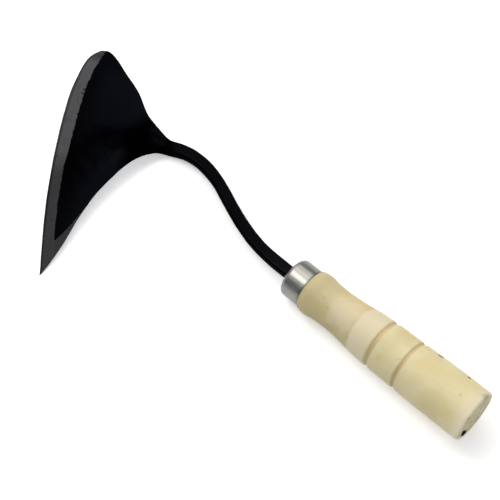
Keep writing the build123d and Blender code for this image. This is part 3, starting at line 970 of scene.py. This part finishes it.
def pale_turned_wood():
    """Bare pale wood: darker waist, freshly turned bands, faint grain, blotches and small marks,
    with painted shade on its lower side and in the knot's hole.
    """
    s = Surface("pale_turned_wood")
    behind = s.math("SUBTRACT", s.axes(s.place)["X"], FERRULE_REAR)
    wave = s.spread(s.noise(s.place, 0.09, 2), 0.3, 0.7, -1.2, 1.2, False)
    wavy = s.math("ADD", behind, wave)
    down = s.vector("DOT_PRODUCT", s.place, tuple(DOWN_SIDE))
    across = s.math("DIVIDE", down, BUTT_RADIUS)

    grain = s.noise(s.place, 1.0, 4, 0.55, (0.022, 0.42, 0.42))
    fibre = s.noise(s.place, 1.0, 3, 0.6, (0.10, 2.6, 2.6))
    clouds = s.noise(s.place, 0.055, 3, 0.55)
    wood = s.mix(s.spread(clouds, 0.3, 0.7), WOOD_DEEP, WOOD_LIGHT)
    wood = s.mix(s.spread(grain, 0.45, 0.80, 0.0, 0.25), wood, GRAIN_TONE)
    wood = s.mix(s.spread(fibre, 0.5, 0.8, 0.0, 0.12), wood, FIBRE_TONE)

    waist = s.spread(wavy, *WAIST_END, 1.0, 0.0)
    # the handled waist's tint, darker on the lower side by painted shade
    handled_with_painted_shade = s.mix(s.spread(across, -0.5, 0.5), HANDLED_UPPER, HANDLED_LOWER_IN_PAINTED_SHADE)
    wood = s.mix(waist, wood, s.mix(1.0, wood, handled_with_painted_shade, "MULTIPLY"))
    soil = s.spread(s.noise(s.place, 0.24, 4, 0.6), 0.48, 0.74, 0.0, 0.40)
    soil = s.math("MULTIPLY", soil, s.spread(across, -0.6, 0.5, 0.35, 1.0))
    wood = s.mix(s.math("MULTIPLY", soil, waist), wood, SOIL)
    fresh = s.spread(behind, *BAND_END, 1.0, 0.0)
    fresh = s.math("MULTIPLY", s.spread(wavy, *WAIST_END), fresh)
    wood = s.mix(s.math("MULTIPLY", fresh, 0.65), wood, WOOD_FRESH)

    wander = s.vector("ADD", s.place, s.noise_vector(0.16, 5.0))
    for distance, side, size, strength, tint in WOOD_MARKS:
        spot = grip_place(distance, side)
        away = s.vector("DISTANCE", wander if size > SMALL_MARK else s.place, spot)
        wood = s.mix(s.spread(away, size * 0.35, size, strength, 0.0), wood, tint)

    # painted shade darkens the lower side; along the grip the wood grows a little lighter towards
    # the butt
    painted_shade_and_tone = s.spread(across, *PAINTED_SHADE_ACROSS)
    painted_shade_and_tone = s.math("MULTIPLY", painted_shade_and_tone, s.spread(behind, *SHADE_ALONG))
    wood = s.mix(1.0, wood, painted_shade_and_tone, "MULTIPLY")
    # the wood is darker just behind the ferrule
    by_ferrule = s.spread(behind, 0.2, 3.2, 0.3, 0.0)
    wood = s.mix(by_ferrule, wood, BY_FERRULE_TONE)
    # grooves are darker, and darker still on their lower side by painted shade
    groove_tone_with_painted_shade = s.mix(s.spread(across, -0.5, 0.5), GROOVE_UPPER, GROOVE_LOWER_IN_PAINTED_SHADE)
    for start, end in (FRONT_GROOVE, REAR_GROOVE):
        from_middle = s.math("SUBTRACT", behind, (start + end) / 2)
        away = s.math("ABSOLUTE", from_middle)
        wood = s.mix(s.spread(away, 0.5, (end - start) * 0.62, 0.8, 0.0), wood, groove_tone_with_painted_shade)

    sawn = s.noise(s.place, 0.5, 4, 0.65)
    end_grain = s.mix(s.spread(sawn, 0.35, 0.65), SAWN_DEEP, SAWN_LIGHT)
    patches = s.noise(s.place, 0.20, 3, 0.55)
    end_grain = s.mix(s.spread(patches, 0.48, 0.66, 0.0, 0.45), end_grain, SAWN_STAIN)
    onto_face = s.field("onto_face")
    wood = s.mix(s.spread(onto_face, *RIM_BAND, 0.0, 0.85), wood, WOOD_FRESH)
    wood = s.mix(s.spread(onto_face, -0.1, 0.6, 0.0, 0.85), wood, end_grain)
    for place, reach, strength in FACE_STAINS:
        stain = s.vector("DISTANCE", s.place, place)
        wood = s.mix(s.spread(stain, reach * 0.3, reach, strength, 0.0), wood, SAWN_STAIN)
    # painted shade: the knot's hole is painted black
    wood = s.mix(s.field("knot"), wood, KNOT_HOLE_PAINTED_SHADE)
    turning = s.noise(s.place, 1.0, 2, 0.5, (1.6, 0.03, 0.03))
    roughness = s.spread(fibre, 0.3, 0.7, *WOOD_ROUGHNESS)
    normal = s.bump(turning, 0.03, s.bump(fibre, 0.025, s.bump(grain, 0.05)))
    # painted shade: no shine in the knot's hole
    shine = s.spread(s.field("knot"), 0.0, 1.0, WOOD_SHINE, 0.0)
    return s.finish(wood, roughness, 0.0, normal, shine)


# ---------------------------------------- floor and light


def mass_centre():
    """Centre of mass of the CAD solids, millimetres."""
    slots = {part["node"]: part["material_slot"] for part in frame["record"]["subparts"]}
    classes = {m["slot"]: m["class"] for m in frame["record"]["materials"]}
    total, moment = 0.0, np.zeros(3)
    for name, node in frame["nodes"].items():
        mesh = node.data
        mesh.calc_loop_triangles()
        corners = vertex_array(mesh)[[list(t.vertices) for t in mesh.loop_triangles]] / MM
        volumes = np.einsum("ij,ij->i", corners[:, 0], np.cross(corners[:, 1], corners[:, 2])) / 6
        weights = volumes * DENSITY[classes[slots[name]]]
        total += weights.sum()
        moment += (corners.sum(axis=1) / 4 * weights[:, None]).sum(axis=0)
    return moment / total


def resting_facet(pieces):
    """Hull facet under the centre of mass, on which the tool lies: a point and the normal."""
    hull = bmesh.new()
    for piece in pieces:
        for point in vertex_array(piece.data)[::HULL_STRIDE]:
            hull.verts.new(point / MM)
    bmesh.ops.convex_hull(hull, input=hull.verts)
    centre = Vector(mass_centre())
    best = None
    for face in hull.faces:
        if face.normal.z > FACES_DOWN or len(face.verts) != 3:
            continue
        spot = centre + (face.verts[0].co - centre).dot(face.normal) * face.normal
        a, b, c = (v.co for v in face.verts)
        sides = ((a, b), (b, c), (c, a))
        inside = all((q - p).cross(spot - p).dot(face.normal) >= 0 for p, q in sides)
        if inside:
            best = (a.copy(), face.normal.copy())
    hull.free()
    return best


def build_floor(pieces):
    """Wide pale sheet under the tool as it lies."""
    point, down = resting_facet(pieces)
    up = -down
    turn = up.to_track_quat("Z", "X")
    middle = Vector((MOUTH, 0, 0))
    middle -= up * (middle - point).dot(up)
    count = FLOOR_SEGMENTS
    rings = []
    for radius in FLOOR_RADII:
        ring = []
        for k in range(count):
            angle = 2 * math.pi * k / count
            spot = Vector((radius * math.cos(angle), radius * math.sin(angle), -FLOOR_GAP))
            ring.append(middle + turn @ spot)
        rings.append(np.array(ring))
    faces = []
    for i in range(len(FLOOR_RADII) - 1):
        a, b = i * count, (i + 1) * count
        for k in range(count):
            n = (k + 1) % count
            faces.append((a + k, a + n, b + n, b + k))
    faces.append(tuple(range(count)))
    mesh = bpy.data.meshes.new("floor")
    mesh.from_pydata((np.concatenate(rings) * MM).tolist(), [], faces)
    floor = bpy.data.objects.new("floor", mesh)
    bpy.context.scene.collection.objects.link(floor)
    s = Surface("floor_paper")
    paper = s.mix(s.noise(s.place, 0.02, 3), PAPER_DEEP, PAPER_LIGHT)
    seen = s.node("ShaderNodeLightPath").outputs["Is Camera Ray"]
    glow = s.blend(seen, TABLE_GLOW, TABLE_GLOW_SEEN)
    s.fill(s.surface, Emission_Color=s.colour(WHITE), Emission_Strength=glow)
    mesh.materials.append(s.finish(paper, PAPER_ROUGHNESS, 0.0, None, PAPER_SHINE))


def build_world():
    """Soft surroundings: a grey dome with screens and an unlit side, white to the camera."""
    world = bpy.data.worlds.new("studio")
    world.use_nodes = True
    s = Nodes(world.node_tree)
    s.tree.nodes.clear()
    direction = s.node("ShaderNodeTexCoord").outputs["Generated"]
    x, y, z = s.axes(direction)
    dome = s.spread(z, 0.0, 1.0, HORIZON_LIGHT, ZENITH_LIGHT, False)
    light = s.mix(dome, (0, 0, 0), DOME_TINT)
    for towards, inner, outer, tint in SCREENS:
        middle = Vector(towards).normalized()
        facing = s.vector("DOT_PRODUCT", direction, tuple(middle))
        edge = (math.cos(math.radians(outer)), math.cos(math.radians(inner)))
        light = s.mix(s.spread(facing, *edge), light, tint)
    unlit = s.math("MULTIPLY", s.spread(y, *DARK_SIDE_Y), s.spread(x, *DARK_SIDE_X))
    light = s.mix(unlit, light, DARK_SIDE)
    rays = s.node("ShaderNodeLightPath")
    around = s.node("ShaderNodeBackground")
    seen = s.node("ShaderNodeBackground")
    choose = s.node("ShaderNodeMixShader")
    out = s.node("ShaderNodeOutputWorld")
    s.fill(around, Color=light)
    s.fill(seen, Color=s.colour(WHITE))
    s.fill(choose, Fac=rays.outputs["Is Camera Ray"])
    s.put(choose.inputs[1], around.outputs[0])
    s.put(choose.inputs[2], seen.outputs[0])
    s.fill(out, Surface=choose.outputs[0])
    bpy.context.scene.world = world


def dress(piece, node, material):
    piece.data.materials.append(material)
    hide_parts(node)
    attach(piece, ROOT)
    return piece


head = dress(build_head(), "forged_head", lacquer_and_ground_steel())
ferrule = dress(build_ferrule(), "ferrule", drawn_steel())
handle = dress(build_handle(), "handle", pale_turned_wood())

build_floor([head, ferrule, handle])
build_world()
build_camera()
softbox("key", KEY_PLACE, KEY_SIZE, KEY_POWER, KEY_TINT)
softbox("accent", ACCENT_PLACE, ACCENT_SIZE, ACCENT_POWER, KEY_TINT)

scene = bpy.context.scene
scene.view_settings.view_transform = "Standard"
